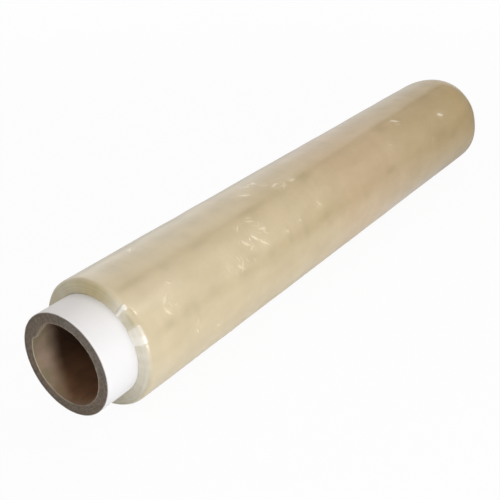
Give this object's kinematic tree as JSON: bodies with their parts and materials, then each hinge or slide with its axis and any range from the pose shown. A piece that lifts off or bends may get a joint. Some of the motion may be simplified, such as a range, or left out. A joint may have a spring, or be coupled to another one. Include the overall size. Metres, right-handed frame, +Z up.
{
  "type": "cling film roll",
  "caption": "Cylindrical roll of clear stretch food film wound on a paperboard core, with a bare white core stub at one end; lies on its side and mounts by its through bore.",
  "frame": {"origin": "on the surface the roll lies on, under the middle of the core's length and straight below the core's axis", "axes": "+X along the roll's axis from the wide bare core stub (-X end) to the end where film and core are almost flush; +Z up"},
  "size_m": [0.475, 0.0804, 0.0801],
  "materials": {
    "core_board": "raw recycled paperboard, knife-cut ends with ply lines, plain brown liner in the bore",
    "core_paper": "smooth uncoated white paper with a spiral butt seam",
    "stretch_film": "glossy clear film whose many turns together look pale straw, with fine wrinkles and a grey sheen"
  },
  "bodies": {
    "root": {"core_tube": "core_board", "core_cover_paper": "core_paper", "film_winding": "stretch_film"}
  },
  "joints": []
}
